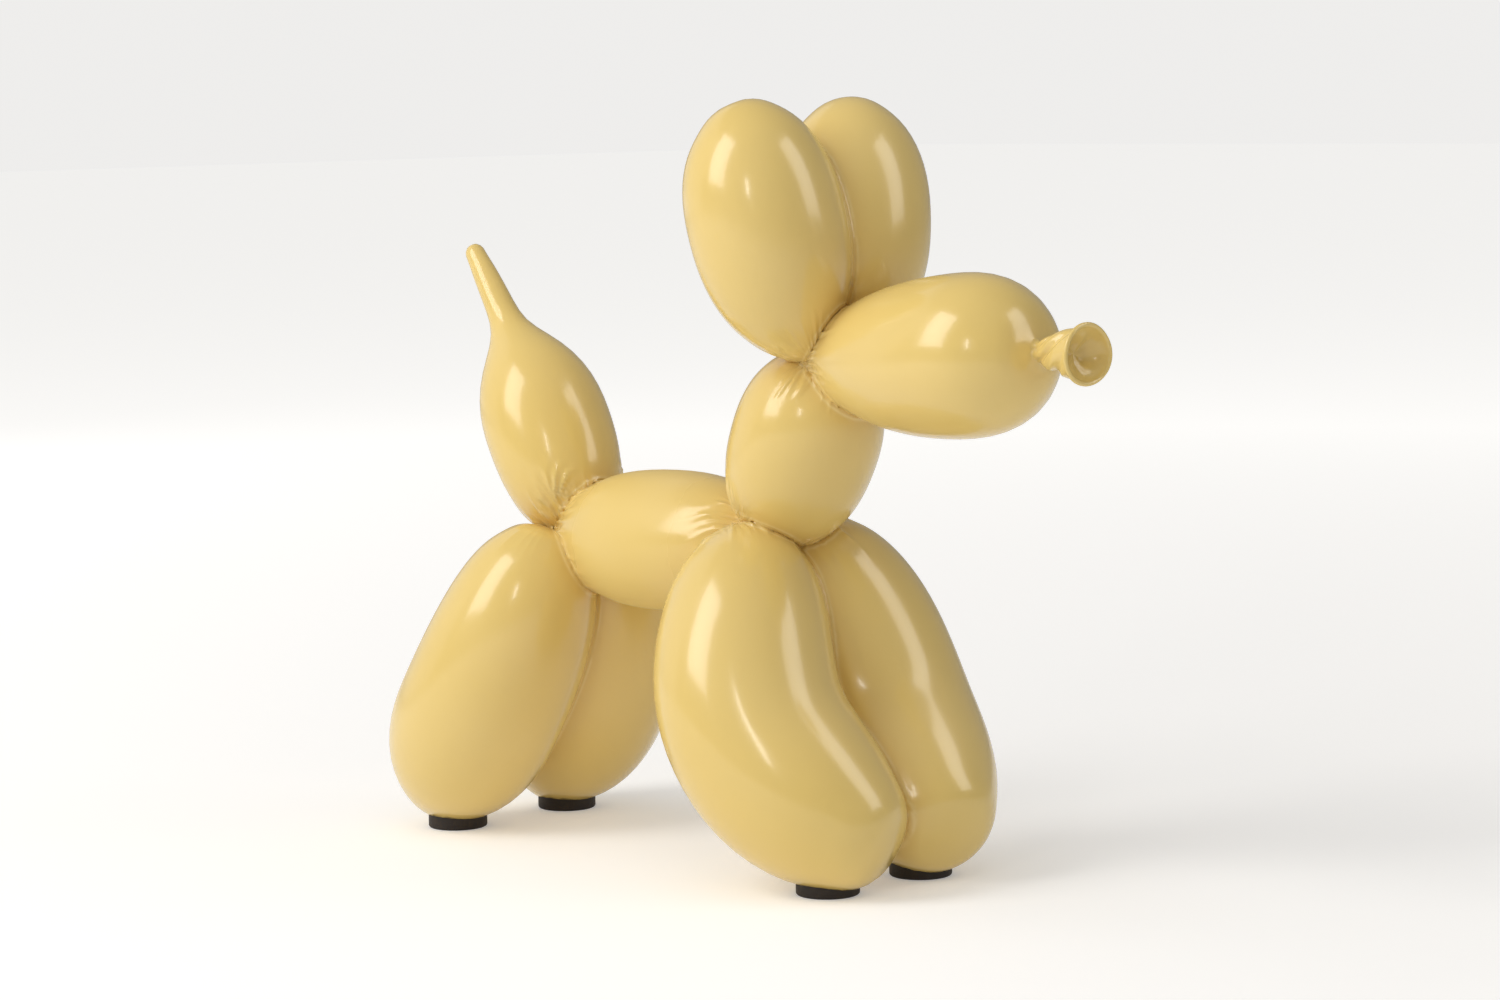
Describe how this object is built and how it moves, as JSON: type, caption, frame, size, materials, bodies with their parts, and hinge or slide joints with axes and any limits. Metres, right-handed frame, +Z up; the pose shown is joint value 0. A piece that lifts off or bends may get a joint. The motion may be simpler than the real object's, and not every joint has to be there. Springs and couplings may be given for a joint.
{
  "type": "balloon dog sculpture",
  "caption": "Decorative statue of a dog twisted from a long balloon, moulded in one piece, painted glossy cream, standing on black rubber pads.",
  "frame": {"origin": "on the floor, under the centre of the bounding box", "axes": "+X from tail to nose, +Y to the dog's left, +Z up"},
  "size_m": [0.5544, 0.2144, 0.4673],
  "materials": {
    "cream_paint": "glossy cream paint on moulded resin",
    "black_rubber": "matt black rubber"
  },
  "bodies": {
    "root": {"balloon_dog_body": "cream_paint", "foot_pad_front_left": "black_rubber", "foot_pad_front_right": "black_rubber", "foot_pad_rear_left": "black_rubber", "foot_pad_rear_right": "black_rubber"}
  },
  "joints": []
}
